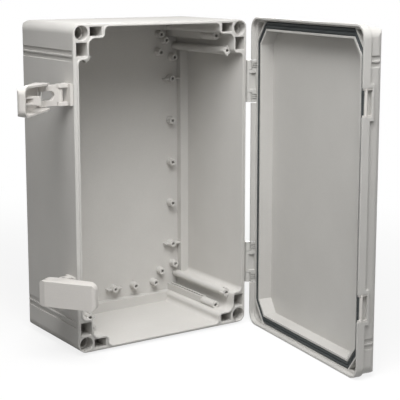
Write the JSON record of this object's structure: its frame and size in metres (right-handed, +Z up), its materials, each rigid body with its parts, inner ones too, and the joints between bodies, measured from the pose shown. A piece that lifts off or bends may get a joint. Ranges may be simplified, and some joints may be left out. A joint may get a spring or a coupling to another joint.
{
  "type": "hinged wall enclosure",
  "caption": "Plastic wall enclosure with a deep base, hinged gasketed lid and side draw latches, drawn open with standoffs and corner screw towers inside.",
  "frame": {"origin": "middle of the base's back face, where it meets the wall", "axes": "+X to the right, +Y into the wall, +Z up; the lid faces -Y when shut"},
  "size_m": [0.2481, 0.2634, 0.27],
  "materials": {
    "case_grey": "light grey moulded plastic, fine satin",
    "hinge_grey": "light grey moulded plastic, satin",
    "latch_grey": "light grey moulded plastic, satin",
    "gasket": "dark grey foamed rubber, dull",
    "steel_pin": "plain turned steel"
  },
  "bodies": {
    "base": {"base_shell": "case_grey", "hinge_bracket_upper": "hinge_grey", "hinge_bracket_lower": "hinge_grey", "hinge_pin_upper": "steel_pin", "hinge_pin_lower": "steel_pin", "latch_bracket_upper": "latch_grey", "latch_bracket_lower": "latch_grey", "bracket_pin_upper": "steel_pin", "bracket_pin_lower": "steel_pin"},
    "lid": {"lid_shell": "case_grey", "lid_gasket": "gasket", "hinge_leaf_upper": "hinge_grey", "hinge_leaf_lower": "hinge_grey", "latch_keeper_upper": "latch_grey", "latch_keeper_lower": "latch_grey"},
    "latch_link_upper": {"latch_link_upper": "latch_grey"},
    "latch_handle_upper": {"latch_handle_upper": "latch_grey", "handle_pin_upper": "steel_pin"},
    "latch_link_lower": {"latch_link_lower": "latch_grey"},
    "latch_handle_lower": {"latch_handle_lower": "latch_grey", "handle_pin_lower": "steel_pin"}
  },
  "joints": [
    {"name": "lid_hinge", "type": "hinge", "parent": "base", "child": "lid", "pos_m": [0.088, -0.0905, 0], "axis": [0, 0, 1], "range_deg": [-82.5, 77.5]},
    {"name": "latch_upper_link", "type": "hinge", "parent": "base", "child": "latch_link_upper", "pos_m": [-0.091, -0.085, 0.078], "axis": [0, 0, 1], "range_deg": [-100, 5]},
    {"name": "latch_upper_handle", "type": "hinge", "parent": "latch_link_upper", "child": "latch_handle_upper", "pos_m": [-0.10873, -0.08813, 0.078], "axis": [0, 0, 1], "range_deg": [-7.1, 142]},
    {"name": "latch_lower_link", "type": "hinge", "parent": "base", "child": "latch_link_lower", "pos_m": [-0.091, -0.085, -0.078], "axis": [0, 0, 1], "range_deg": [-100, 5]},
    {"name": "latch_lower_handle", "type": "hinge", "parent": "latch_link_lower", "child": "latch_handle_lower", "pos_m": [-0.10873, -0.08813, -0.078], "axis": [0, 0, 1], "range_deg": [-3.2, 64]}
  ],
  "couplings": [
    {"joint": "latch_upper_handle", "follows": "latch_upper_link", "ratio": -1.42},
    {"joint": "latch_lower_handle", "follows": "latch_lower_link", "ratio": -0.64}
  ]
}
